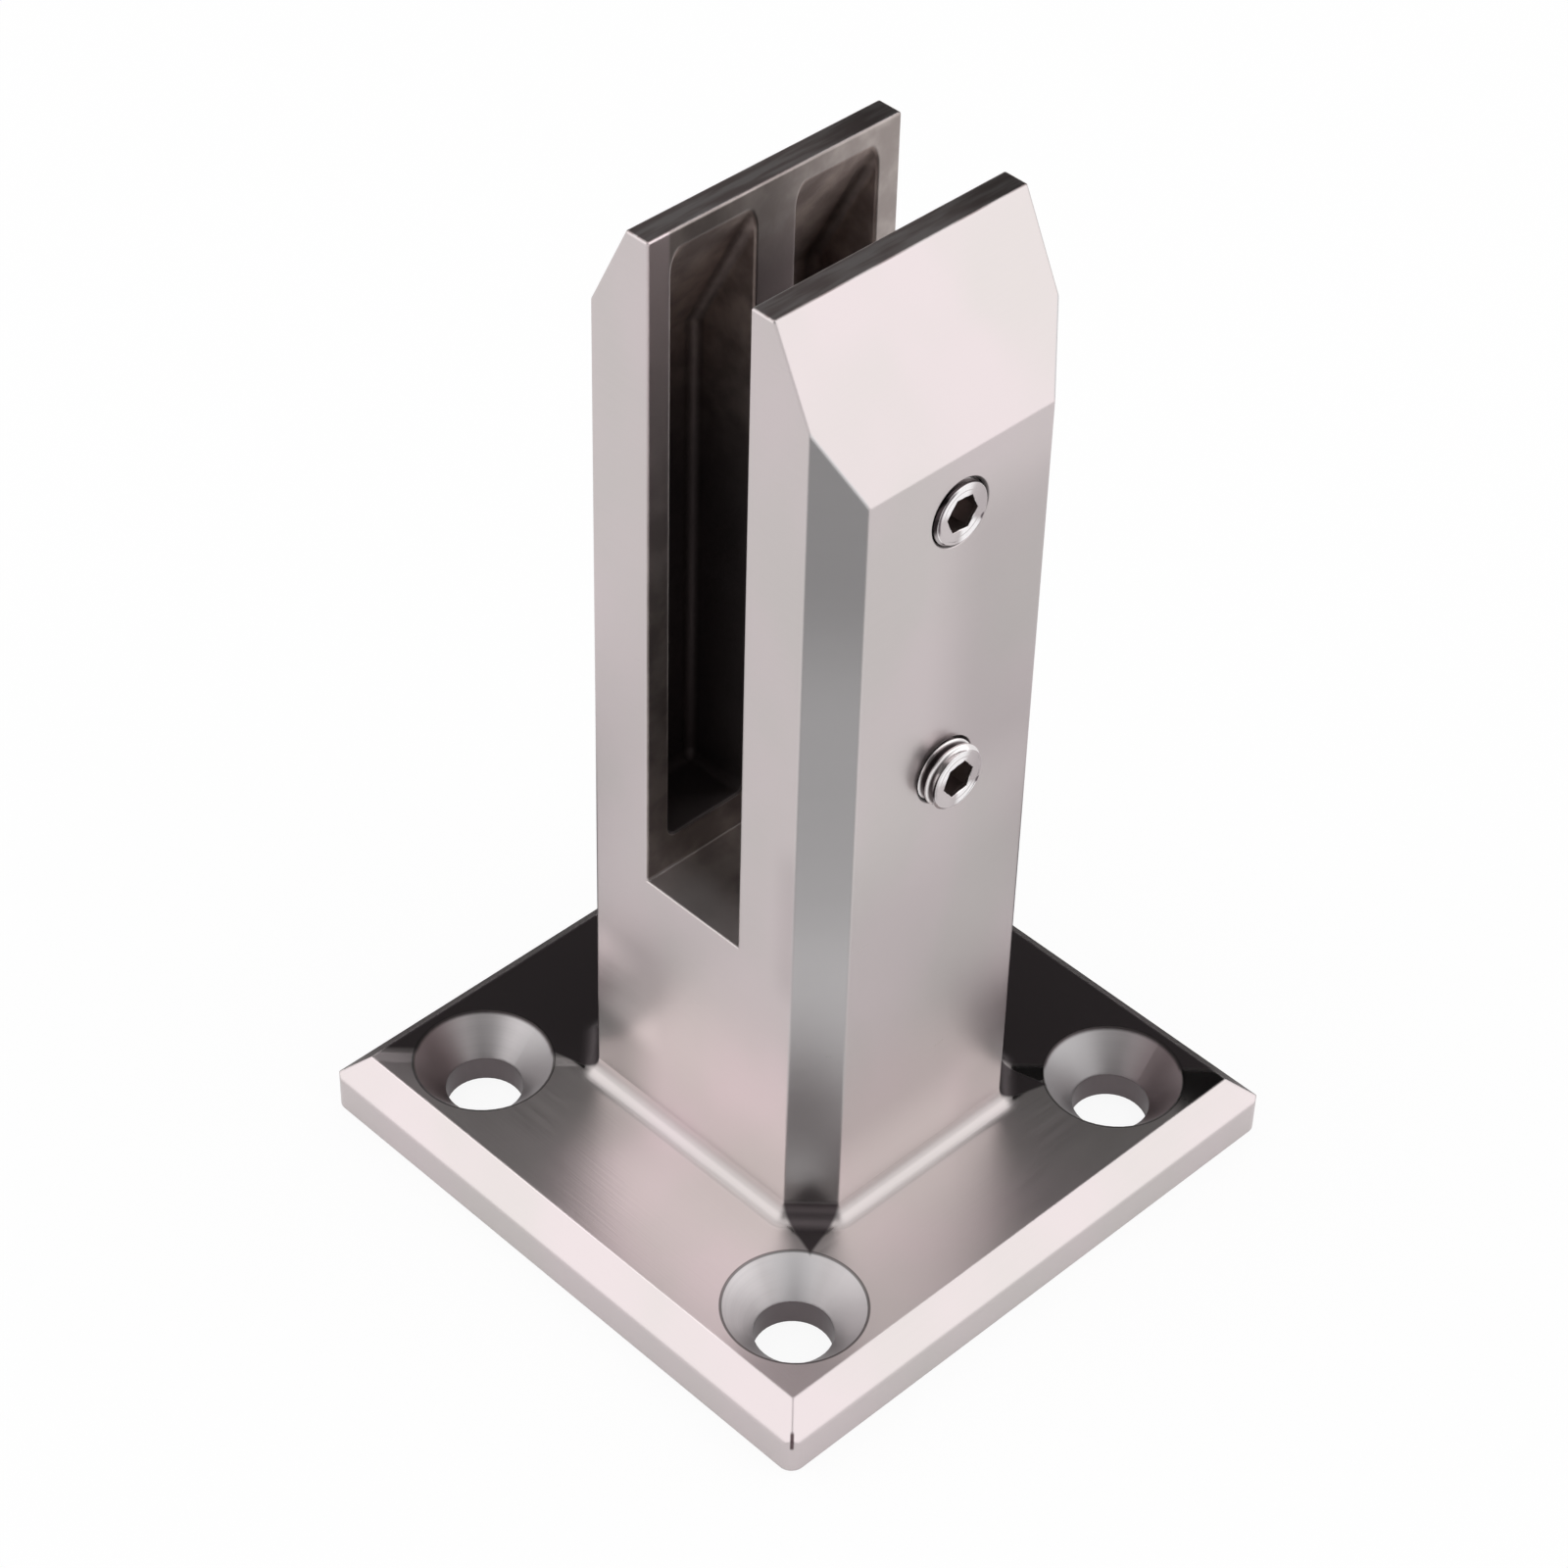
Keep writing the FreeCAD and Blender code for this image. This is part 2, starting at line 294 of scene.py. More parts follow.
def finish_places(s, x, y, z):
    """Where each finish of the casting is, as masks that are 1 inside and 0 outside."""
    p = SimpleNamespace()
    ax = p.ax = s.size(x)
    ay = p.ay = s.size(y)

    # Slot, cored pockets of the ears and core under the post
    p.in_slot = s.product(
        s.step(ay, SLOT_HALF + 0.25, SLOT_HALF + 0.1),
        s.step(z, SLOT_FLOOR - 0.2, SLOT_FLOOR - 0.05),
    )
    bevel_lean = s.times(s.math("MAXIMUM", s.minus(z, EAR_BEVEL_FOOT), 0.0), EAR_BEVEL_SLOPE)
    p.from_outside = s.minus(s.minus(POST_HALF_DEPTH, bevel_lean), ay)
    in_ear = s.product(
        s.step(ay, SLOT_HALF + 0.02, SLOT_HALF + 0.12),
        s.step(p.from_outside, EAR_WALL - 0.25, EAR_WALL + 0.25),
    )
    p.pocket = s.product(
        s.span(ax, POCKET_INNER, POCKET_OUTER, 0.1),
        in_ear,
        s.span(z, POCKET_FOOT, POCKET_TOP, 0.1),
    )
    core = s.product(
        s.step(ax, CORE_HALF_WIDTH + 0.1, CORE_HALF_WIDTH - 0.1),
        s.step(ay, CORE_HALF_DEPTH + 0.1, CORE_HALF_DEPTH - 0.1),
        s.step(z, 0.05, 0.15),
        s.step(z, CORE_TOP + 0.1, CORE_TOP - 0.1),
    )
    p.raw = s.larger(p.pocket, core)

    # Fixing holes with their countersinks, and the screws' bores
    p.from_hole = s.distance(s.minus(ax, HOLE_PLACE), s.minus(ay, HOLE_PLACE))
    p.sunk = s.product(
        s.step(p.from_hole, SINK_RADIUS + 0.06, SINK_RADIUS - 0.02),
        s.step(z, PLATE_TOP - 0.01, PLATE_TOP - 0.05),
    )
    p.sink = s.times(p.sunk, s.step(z, SINK_FOOT - 0.1, SINK_FOOT))
    p.drilled = s.times(p.sunk, s.step(z, SINK_FOOT, SINK_FOOT - 0.1))
    p.bores, p.near_bores = screw_bores(s, x, y, z)

    # Plate top: a smooth zone behind the post and brushed strips on the two sides in front
    plate_top = s.product(
        s.step(z, PLATE_TOP - 0.15, PLATE_TOP - 0.05),
        s.step(z, PLATE_TOP + 1.5, PLATE_TOP + 0.8),
    )
    left_border = s.blend(s.step(y, 26.0, 40.0), -FOOT_HALF_WIDTH + 1.4, -46.0)
    from_border = s.over(s.minus(x, left_border), s.minus(-FOOT_HALF_WIDTH + 2.2, left_border))
    right_back = s.larger(
        s.step(y, -FOOT_HALF_DEPTH + 1.4, -FOOT_HALF_DEPTH + 2.2),
        s.step(x, 34.0, 43.0),
    )
    p.behind = s.product(
        plate_top,
        s.step(from_border, 0.0, 1.0),
        right_back,
        s.step(z, PLATE_TOP + 0.25, PLATE_TOP + 0.12),
    )
    p.strips = s.minus(plate_top, p.behind)

    # Vertical chamfers of the post, foot fillet and the narrow lands on top of the ears
    p.outward = s.minus(s.plus(ax, ay), CHAMFER_SUM)
    off_diagonal = s.size(s.plus(s.minus(ax, ay), POST_HALF_DEPTH - POST_HALF_WIDTH))
    p.chamfer = s.product(
        s.step(s.plus(ax, ay), CHAMFER_SUM - 0.5, CHAMFER_SUM - 0.1),
        s.step(z, PLATE_TOP + 0.6, PLATE_TOP + 1.4),
        s.step(ax, POST_HALF_WIDTH + 0.3, POST_HALF_WIDTH + 0.1),
        s.step(off_diagonal, CHAMFER_LEG + 0.2, CHAMFER_LEG - 0.7),
    )
    p.fillet = s.span(z, PLATE_TOP + 0.20, PLATE_TOP + 2.9, 0.15)
    p.land = s.step(z, POST_TOP - 0.2, POST_TOP - 0.05)
    return p


def painted_level(s, x, y, z, p):
    """Share by which the satin is darker or lighter at each place, as the photo shows it."""
    above_plate = s.step(z, PLATE_TOP + 0.3, PLATE_TOP + 1.0)
    screw_face = s.times(s.step(y, -POST_HALF_DEPTH + 0.5, -POST_HALF_DEPTH + 0.1), above_plate)
    upper_right = s.product(s.span(z, 90.0, 124.0, 14.0), s.step(x, -6.0, 6.0))
    left_face = s.times(s.step(x, -POST_HALF_WIDTH + 0.5, -POST_HALF_WIDTH + 0.1), above_plate)
    left_foot = s.times(left_face, s.step(y, 5.0, 16.0))
    slot_edge = s.step(y, -15.0, -19.5)
    left_strip = s.times(p.strips, s.step(s.minus(y, x), -2.0, 2.0))
    fillet_flanks = s.math(
        "SUBTRACT",
        s.span(z, PLATE_TOP + 0.05, PLATE_TOP + 1.9, 0.9),
        s.span(z, PLATE_TOP + 0.25, PLATE_TOP + 0.80, 0.42),
        clamp=True,
    )
    # Painted light and shade: each zone makes the satin's colour darker or lighter by its share
    level = 1.0
    for zone, share in (
        (s.times(screw_face, s.span(z, 32.0, 62.0, 26.0)), 0.87),
        (s.times(screw_face, s.step(z, 28.0, 16.0)), 1.10),
        (s.times(screw_face, upper_right), 0.83),
        (s.product(screw_face, s.step(x, 4.0, 12.0), s.step(z, 30.0, 20.0)), 0.94),
        (s.times(left_face, s.step(z, 30.0, 15.0)), 0.93),
        (s.product(left_face, slot_edge, s.span(z, 58.0, 76.0, 8.0)), 0.88),
        (s.times(left_foot, s.span(z, 29.5, 35.0, 8.0)), 1.64),
        (s.times(left_foot, s.span(z, 14.0, 20.5, 6.0)), 0.60),
        (left_strip, 1.36),
        (s.minus(p.strips, left_strip), 1.12),
        (s.times(p.strips, s.step(s.plus(x, y), -74.0, -84.0)), 0.92),
        (p.fillet, 0.98),
        (s.times(fillet_flanks, s.step(z, PLATE_TOP + 0.01, PLATE_TOP + 0.04)), 0.84),
        (p.behind, 0.80),
    ):
        level = s.blend(zone, level, share)
    return level


def painted_chamfer(s, z):
    """Light middle and darker ends of the vertical chamfers, which the photo's chamfers mirror."""
    # Painted reflection: each chamfer is lighter in its middle and darkest at its foot
    colour = s.colour_blend(s.span(z, 66.0, 104.0, 26.0), (0.565, 0.545, 0.550), (0.760, 0.735, 0.740))
    return s.colour_blend(s.step(z, 66.0, PLATE_TOP), colour, (0.460, 0.440, 0.440))


def painted_slot(s, x, y, z, p, machined):
    """Shade between the pockets and on the slot's floor, and the light on its left rim and side."""
    bed = s.step(z, SLOT_FLOOR + 0.6, SLOT_FLOOR + 0.2)
    left_rim = s.product(s.step(x, -18.6, -19.2), s.step(y, 0.0, 1.0), s.step(z, 96.0, 158.0))
    return s.paint(machined, (
        (s.times(s.step(p.ax, 4.2, 3.4), s.step(z, 164.0, 150.0)), (0.190, 0.150, 0.150)),
        (s.times(bed, s.step(x, -10.0, 6.0)), (0.250, 0.210, 0.205)),
        (s.times(bed, s.step(x, -13.0, -20.0)), (0.720, 0.660, 0.650)),
        (left_rim, (0.800, 0.690, 0.700)),
    ))


def painted_sinks(s, x, y, p, turned):
    """Painted light and shade in sectors of the right, left and front countersinks, with a painted
    highlight in the front one.
    """
    hole_x = s.minus(x, s.times(s.math("SIGN", x), HOLE_PLACE))
    hole_y = s.minus(y, s.times(s.math("SIGN", y), HOLE_PLACE))
    diagonal = s.times(p.from_hole, math.sqrt(2))
    side = s.over(s.minus(hole_x, hole_y), diagonal)
    rise = s.over(s.plus(hole_x, hole_y), diagonal)
    right = s.times(s.step(x, -1.0, 1.0), s.step(y, 1.0, -1.0))
    left = s.times(s.step(x, 1.0, -1.0), s.step(y, -1.0, 1.0))
    front = s.times(s.step(x, 1.0, -1.0), s.step(y, 1.0, -1.0))
    gleam = s.product(front, s.step(rise, -0.2, 0.5), s.step(s.size(side), 0.55, 0.1))
    return s.paint(turned, (
        (s.times(right, s.step(side, 0.2, -0.6)), (0.430, 0.415, 0.420)),
        (s.times(right, s.step(side, -0.1, 0.9)), (0.380, 0.315, 0.325)),
        (s.times(left, s.step(side, 0.3, 0.9)), (0.440, 0.420, 0.425)),
        (s.times(front, s.step(side, 0.2, 0.9)), (0.530, 0.500, 0.505)),
        (s.times(left, s.step(side, -0.2, -0.9)), (0.330, 0.270, 0.275)),
        (gleam, (0.960, 0.930, 0.940)),
        (s.times(front, s.step(rise, -0.15, -0.85)), (0.400, 0.372, 0.378)),
    ))


def painted_v_shades(s, x, y, z, p):
    """Mask of the painted shade, a dark V below each chamfer, which the solid doesn't have: it is colour
    only.
    """
    lean = V_SHADE_HALF_WIDTH - POST_HALF_WIDTH
    run = V_SHADE_HALF_DEPTH - POST_HALF_DEPTH + CHAMFER_LEG
    from_x = s.minus(p.ax, V_SHADE_HALF_WIDTH)
    from_y = s.minus(p.ay, V_SHADE_HALF_DEPTH)
    past_x = s.minus(s.times(from_x, run), s.times(from_y, lean))
    past_y = s.minus(s.times(from_y, run), s.times(from_x, lean))
    past_sides = s.over(s.larger(past_x, past_y), math.hypot(run, lean))
    v_shade = s.product(
        s.step(p.outward, -0.08, 0.10),
        s.span(z, PLATE_TOP - 0.1, PLATE_TOP + 3.0, 0.5),
        s.step(past_sides, 0.35, -0.30),
    )
    side_corners = s.times(s.step(s.times(x, y), 1.0, -1.0), s.step(p.outward, -3.2, -1.2))
    side_v_shade = s.product(
        side_corners,
        s.span(z, PLATE_TOP - 0.1, PLATE_TOP + 3.6, 0.5),
        s.step(s.plus(x, y), 1.0, 3.5),
    )
    return s.larger(v_shade, side_v_shade)


def painted_marks(s, x, y, z, p):
    """Masks of the painted shade beside the pocket walls and along the mitre at the plate's front corner,
    and of the countersink rims.
    """
    beside_wall = s.larger(s.step(p.ax, 5.9, 5.2), s.step(p.ax, 16.4, 17.1))
    pocket_wall_shade = s.product(p.pocket, beside_wall, s.step(p.from_outside, 7.3, 6.5), s.step(z, 159.5, 157.5))
    mitre = s.product(
        s.step(s.size(s.minus(x, y)), 0.55, 0.2),
        s.step(s.plus(x, y), -96.8, -97.6),
        s.step(z, 4.6, 5.2),
    )
    rim = s.product(
        s.span(p.from_hole, SINK_RADIUS - 0.08, SINK_RADIUS + 0.20, 0.16),
        s.step(z, PLATE_TOP - 0.3, PLATE_TOP - 0.1),
    )
    return pocket_wall_shade, mitre, rim


def brushed_lines(s, x, y, z, p):
    """Fine lines: along each edge on the plate, level round the post, circles in the countersinks."""
    on_plate = s.step(z, PLATE_TOP + 3.5, PLATE_TOP + 1.0)
    beside = s.step(s.minus(p.ax, p.ay), -1.5, 1.5)
    across = s.times(s.blend(beside, y, x), 2.2)
    along = s.times(s.blend(beside, x, y), 0.07)
    upward = s.times(z, 2.2)
    round_post = s.times(s.plus(x, y), 0.06)
    other_way = s.times(s.minus(x, y), 0.06)
    plate_lines = s.noise(s.vector(along, across, upward), 1.0, 3.0, 0.6)
    post_lines = s.noise(s.vector(round_post, other_way, upward), 1.0, 3.0, 0.6)
    turned_lines = s.noise(s.vector(s.times(p.from_hole, 3.0), s.times(z, 0.3), 0.0), 1.0, 2.0, 0.6)
    lines = s.blend(on_plate, post_lines, plate_lines)
    return s.blend(p.sunk, lines, turned_lines), plate_lines, turned_lines


def casting_material():
    """Satin brushed steel outside, dull machined slot, raw cast pockets and turned countersinks."""
    s = Shader("brushed_casting")
    place, x, y, z = s.place()
    p = finish_places(s, x, y, z)
    v_shade = painted_v_shades(s, x, y, z, p)
    pocket_wall_shade, mitre, rim = painted_marks(s, x, y, z, p)
    lines, plate_lines, turned_lines = brushed_lines(s, x, y, z, p)

    # Slow waves left by hand polishing, and the grain and blotches of the casting skin
    waves = s.noise(place, 0.055, 1.5, 0.4)
    skin = s.noise(place, 1.6, 4.0, 0.62)
    blotches = s.noise(place, 0.16, 3.0, 0.55)

    # Colour of each finish, with painted light and shade laid over it
    tints = s.noise(s.vector(s.plus(x, 31.0), y, s.times(z, 0.6)), 0.045, 2.0, 0.5)
    satin = s.colour_blend(s.step(tints, 0.36, 0.64), *SATIN_COLOURS)
    satin = s.colour_blend(s.times(lines, 0.35), satin, SATIN_LINE_COLOUR)
    satin = s.colour_blend(1.0, satin, painted_level(s, x, y, z, p), "MULTIPLY")
    # The lands on top of the ears get a darker, streaky colour
    scale = s.noise(s.vector(s.times(x, 0.10), s.times(y, 0.9), 5.0), 1.0, 2.0, 0.5)
    land_colour = s.colour_blend(s.step(scale, 0.35, 0.65), *LAND_COLOURS)
    satin = s.paint(satin, (
        (p.chamfer, painted_chamfer(s, z)),
        (p.land, land_colour),
    ))
    machined = s.colour_blend(s.step(blotches, 0.35, 0.68), *MACHINED_COLOURS)
    machined = painted_slot(s, x, y, z, p, machined)
    cast = s.colour_blend(s.step(blotches, 0.30, 0.75), *CAST_COLOURS)
    # Painted shade: the raw cast colour darkens downwards, deep in the pockets
    painted_pocket_shade = (s.step(z, 150.0, 112.0), (0.120, 0.100, 0.100))
    cast = s.paint(cast, (painted_pocket_shade,))
    turned = s.colour_blend(turned_lines, *TURNED_COLOURS)
    turned = painted_sinks(s, x, y, p, turned)
    colour = s.paint(satin, (
        (p.in_slot, machined),
        (p.raw, cast),
        # Painted shade beside the pocket walls
        (s.times(pocket_wall_shade, 0.40), (0.060, 0.045, 0.045)),
        (p.sink, turned),
        # Painted shade down the drilled holes
        (p.drilled, (0.170, 0.145, 0.150)),
        # Painted shade in a V below each chamfer
        (v_shade, (0.105, 0.088, 0.092)),
        # Painted shade along the mitre at the plate's front corner
        (mitre, (0.120, 0.085, 0.090)),
        # Painted shade in the screw bores
        (p.bores, (0.160, 0.145, 0.145)),
        (s.times(rim, 0.72), (0.060, 0.052, 0.052)),
    ))

    # Roughness of each finish
    rough = s.blend(lines, *SATIN_ROUGHNESS)
    for zone, value in (
        (p.strips, s.blend(plate_lines, *STRIP_ROUGHNESS)),
        (p.behind, BEHIND_ROUGHNESS),
        (p.fillet, FILLET_ROUGHNESS),
        (v_shade, V_SHADE_ROUGHNESS),
        (p.land, s.blend(s.step(x, 4.0, 20.0), *LAND_ROUGHNESS)),
        (p.in_slot, s.blend(blotches, *MACHINED_ROUGHNESS)),
        (p.raw, s.blend(blotches, *CAST_ROUGHNESS)),
        (p.sink, TURNED_ROUGHNESS),
        (s.larger(p.drilled, p.bores), BORE_ROUGHNESS),
    ):
        rough = s.blend(zone, rough, value)

    # Soft edges, crisper round the screw bores, and the relief of each finish
    edges = s.node("ShaderNodeBevel", samples=6)
    s.feed(edges.inputs["Radius"], s.blend(p.near_bores, EDGE_SOFTNESS, BORE_EDGE_SOFTNESS))
    normal = s.bump(waves, 0.020 * MM, 0.6, edges.outputs[0])
    satin_relief = s.minus(1.0, s.larger(p.raw, p.in_slot, p.land))
    normal = s.bump(lines, 0.0016 * MM, satin_relief, normal)
    normal = s.bump(plate_lines, 0.020 * MM, p.strips, normal)
    normal = s.bump(skin, 0.045 * MM, p.raw, normal)
    normal = s.bump(skin, 0.010 * MM, p.in_slot, normal)
    s.metal(colour, rough, normal)
    return s.material


casting.data.materials.clear()
casting.data.materials.append(casting_material())


# Grub screws

THREAD_PITCH = 1.5
THREAD_CREST = 4.97
THREAD_ROOT = 4.12
SCREW_LENGTH = 16.0
FACE_RADIUS = 4.55
HEX_FLATS = 5.0
HEX_DEPTH = 5.0
HEX_LEAD_RADIUS = 2.62
HEX_BREAK = 0.06
DRILL_RADIUS = 2.45
DRILL_CONE = 1.3
CUP_RADIUS = 2.75
CUP_DEPTH = 1.6
SCREW_SIDES = 96
STEPS_PER_PITCH = 15
FLANK_START = 0.13
FLANK_SHARE = 0.70
ROOT_ROUNDING = 0.06
WELD_DISTANCE = 0.0005
SMOOTH_ANGLE = math.radians(32)
SPOT_SHADE_ASIDE = 3.95
SPOT_SHADE_DROP = 2.25
SCREW_COLOURS = ((0.76, 0.72, 0.72), (0.86, 0.83, 0.83))
SCREW_ROUGHNESS = (0.12, 0.20)
SCREW_FACE_ROUGHNESS = 0.24
SCREW_ROOT_ROUGHNESS = 0.34
SCREW_EDGE_SOFTNESS = 0.10 * MM


def hex_radius(angle):
    """Distance from the axis to the socket's wall at an angle."""
    turn = math.radians(60)
    return HEX_FLATS / 2 / math.cos((angle % turn) - turn / 2)


def lead_radius(angle):
    """Radius of the broken edge round the socket's mouth."""
    return max(HEX_LEAD_RADIUS, hex_radius(angle) + HEX_BREAK)


def thread_radius(phase):
    """Radius of the thread at a phase of its pitch, 0 to 1, with flat crests and rounded roots."""
    distance = abs(phase - 0.5) * 2
    flank = min(max((distance - FLANK_START) / FLANK_SHARE, 0.0), 1.0)
    rounded = flank - ROOT_ROUNDING * math.sin(math.pi * flank) * flank
    return THREAD_ROOT + (THREAD_CREST - THREAD_ROOT) * rounded


def ring(bm, radius_at, depth_at):
    """Closed loop of vertices round the screw's axis; depth runs inwards from the outer face."""
    loop = []
    for i in range(SCREW_SIDES):
        angle = 2 * math.pi * i / SCREW_SIDES
        r = radius_at(angle)
        loop.append(bm.verts.new((r * math.cos(angle), depth_at(angle), r * math.sin(angle))))
    return loop


def join(bm, first, second):
    """Wall of quads between two loops."""
    for i in range(SCREW_SIDES):
        j = (i + 1) % SCREW_SIDES
        bm.faces.new((first[i], first[j], second[j], second[i]))


def close(bm, loop, depth):
    """Cone from a loop to a point on the axis."""
    tip = bm.verts.new((0, depth, 0))
    for i in range(SCREW_SIDES):
        bm.faces.new((loop[i], loop[(i + 1) % SCREW_SIDES], tip))


def build_screw(name, outer_y, height, start_phase):
    """Set screw with a real helical thread, a chamfered hex socket and a cup point."""
    bm = bmesh.new()

    def cone_limit(depth):
        return FACE_RADIUS + min(depth, SCREW_LENGTH - depth)

    # Threaded wall: each row follows the helix, and is cut off square at both ends
    turns = int(SCREW_LENGTH / THREAD_PITCH) + 2
    rows = turns * STEPS_PER_PITCH
    grid = []
    for i in range(SCREW_SIDES):
        angle = 2 * math.pi * i / SCREW_SIDES
        column = []
        for k in range(rows + STEPS_PER_PITCH + 1):
            raw = (k / STEPS_PER_PITCH + i / SCREW_SIDES - 1.5 + start_phase) * THREAD_PITCH
            depth = min(max(raw, 0.0), SCREW_LENGTH)
            phase = (depth / THREAD_PITCH - i / SCREW_SIDES - start_phase) % 1.0
            r = min(thread_radius(phase), cone_limit(depth))
            column.append(bm.verts.new((r * math.cos(angle), depth, r * math.sin(angle))))
        grid.append(column)
    for i in range(SCREW_SIDES):
        shift = STEPS_PER_PITCH if i == SCREW_SIDES - 1 else 0
        following = grid[(i + 1) % SCREW_SIDES]
        for k in range(rows):
            bm.faces.new((grid[i][k], grid[i][k + 1], following[k + 1 + shift], following[k + shift]))

    # Outer face with the socket, and the cup end
    face = ring(bm, lambda a: FACE_RADIUS, lambda a: 0.0)
    lead = ring(bm, lead_radius, lambda a: 0.0)
    mouth = ring(bm, hex_radius, lambda a: lead_radius(a) - hex_radius(a))
    floor = ring(bm, hex_radius, lambda a: HEX_DEPTH)
    drill = ring(bm, lambda a: DRILL_RADIUS, lambda a: HEX_DEPTH)
    for first, second in ((face, lead), (lead, mouth), (mouth, floor), (floor, drill)):
        join(bm, first, second)
    close(bm, drill, HEX_DEPTH + DRILL_CONE)
    back = ring(bm, lambda a: FACE_RADIUS, lambda a: SCREW_LENGTH)
    cup = ring(bm, lambda a: CUP_RADIUS, lambda a: SCREW_LENGTH)
    join(bm, back, cup)
    close(bm, cup, SCREW_LENGTH - CUP_DEPTH)

    bmesh.ops.remove_doubles(bm, verts=bm.verts, dist=WELD_DISTANCE)
    bmesh.ops.dissolve_degenerate(bm, edges=bm.edges, dist=WELD_DISTANCE)
    loose = [v for v in bm.verts if not v.link_faces]
    bmesh.ops.delete(bm, geom=loose, context="VERTS")
    bmesh.ops.recalc_face_normals(bm, faces=bm.faces)
    place = Matrix.Translation((0, outer_y * MM, height * MM)) @ Matrix.Scale(MM, 4)
    bm.transform(place)
    mesh = bpy.data.meshes.new(name)
    bm.to_mesh(mesh)
    bm.free()
    mesh.shade_smooth()
    mesh.set_sharp_from_angle(angle=SMOOTH_ANGLE)
    obj = bpy.data.objects.new(name, mesh)
    bpy.context.scene.collection.objects.link(obj)
    return obj


def painted_screw(s, x, rise, depth, radius, face, crescent_share, colour):
    """Screw's colour with the light and shade of its face in the photo laid over it."""
    # Painted shade and highlights on the face: darker towards its lower right, a bright gleam, a dark
    # crescent and a small dark spot, and painted shade on the upper side of the end chamfer
    aslant = s.minus(x, s.times(rise, 0.4))
    face_shade = s.colour_blend(s.step(aslant, -1.0, 3.4), (0.600, 0.545, 0.550), (0.490, 0.440, 0.447))
    across = s.over(s.minus(s.times(rise, 0.91), s.times(x, 0.42)), radius)
    gleam = s.larger(s.step(across, 0.50, 0.85), s.step(across, -0.82, -0.97))
    gleam = s.times(gleam, s.blend(s.span(radius, 3.50, 3.58, 0.12), 1.0, 0.35))
    leftward = s.over(s.plus(s.times(x, -0.88), s.times(rise, 0.47)), radius)
    crescent = s.product(face, s.step(leftward, 0.62, 0.84), s.step(radius, 4.02, 4.28))
    end_upper = s.step(s.over(rise, radius), -0.45, -0.05)
    end_chamfer = s.colour_blend(end_upper, (0.450, 0.410, 0.415), (0.055, 0.042, 0.045))
    on_end_chamfer = s.product(s.step(radius, FACE_RADIUS, FACE_RADIUS + 0.08), s.step(depth, 0.60, 0.45))
    from_spot_shade = s.distance(s.minus(x, SPOT_SHADE_ASIDE), s.plus(rise, SPOT_SHADE_DROP))
    spot_shade = s.times(s.step(depth, 0.50, 0.30), s.step(from_spot_shade, 0.66, 0.30))
    return s.paint(colour, (
        (face, face_shade),
        (s.times(face, gleam), (0.980, 0.950, 0.960)),
        (s.times(crescent, crescent_share), (0.100, 0.075, 0.085)),
        (on_end_chamfer, end_chamfer),
        (spot_shade, (0.120, 0.095, 0.105)),
    ))


def screw_material(name, outer_y, height, crescent_share):
    """Bright stainless screw, dull and with painted shade in its thread roots and down the socket."""
    s = Shader(name)
    x, y, z = s.place()[1:]
    depth = s.minus(y, outer_y)
    rise = s.minus(z, height)
    radius = s.distance(x, rise)
    root = s.product(s.step(radius, 4.85, 4.5), s.step(depth, 0.75, 0.95), s.step(radius, 3.4, 3.8))
    socket = s.product(s.step(radius, 3.3, 3.1), s.step(depth, 0.25, 0.6))
    face = s.product(s.step(radius, FACE_RADIUS + 0.05, FACE_RADIUS - 0.05), s.step(depth, 0.06, 0.03))
    turned_place = s.vector(s.times(radius, 6.0), s.times(depth, 6.0), s.times(x, 0.4))
    scratches = s.noise(turned_place, 1.0, 3.0, 0.6)
    colour = s.colour_blend(scratches, *SCREW_COLOURS)
    colour = painted_screw(s, x, rise, depth, radius, face, crescent_share, colour)
    # Painted shade in the thread roots and down the socket
    colour = s.paint(colour, (
        (root, (0.110, 0.090, 0.092)),
        (socket, (0.360, 0.310, 0.300)),
    ))
    rough = s.blend(scratches, *SCREW_ROUGHNESS)
    rough = s.blend(face, rough, SCREW_FACE_ROUGHNESS)
    rough = s.blend(s.larger(root, socket), rough, SCREW_ROOT_ROUGHNESS)
    edges = s.node("ShaderNodeBevel", samples=4)
    edges.inputs["Radius"].default_value = SCREW_EDGE_SOFTNESS
    normal = s.bump(scratches, 0.0010 * MM, 1.0, edges.outputs[0])
    s.metal(colour, rough, normal)
    return s.material


SCREW_BODIES = {"upper_grub_screw": "upper_screw", "lower_grub_screw": "lower_screw"}
START_PHASES = {"upper_grub_screw": 0.78, "lower_grub_screw": 0.55}
# Share of the painted shade crescent on each screw's face
CRESCENTS = {"upper_grub_screw": 0.95, "lower_grub_screw": 0.20}
HEX_TURNS = {"upper_grub_screw": 6.0, "lower_grub_screw": -8.0}

for node_name, height in SCREW_HEIGHTS.items():
    low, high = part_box(node_name)
    outer_y = low.y / MM
    screw = build_screw("threaded_" + node_name, outer_y, height, START_PHASES[node_name])
    axis_point = Matrix.Translation((0, 0, height * MM))
    turn = Matrix.Rotation(math.radians(HEX_TURNS[node_name]), 4, "Y")
    screw.data.transform(axis_point @ turn @ axis_point.inverted())
    look = screw_material("bright_" + node_name, outer_y, height, CRESCENTS[node_name])
    screw.data.materials.append(look)
    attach(screw, SCREW_BODIES[node_name])
    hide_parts(node_name)


# Studio

def mesh_object(name, points, faces, material):
    mesh = bpy.data.meshes.new(name)
    mesh.from_pydata(points, [], faces)
    mesh.materials.append(material)
    obj = bpy.data.objects.new(name, mesh)
    bpy.context.scene.collection.objects.link(obj)
    return obj


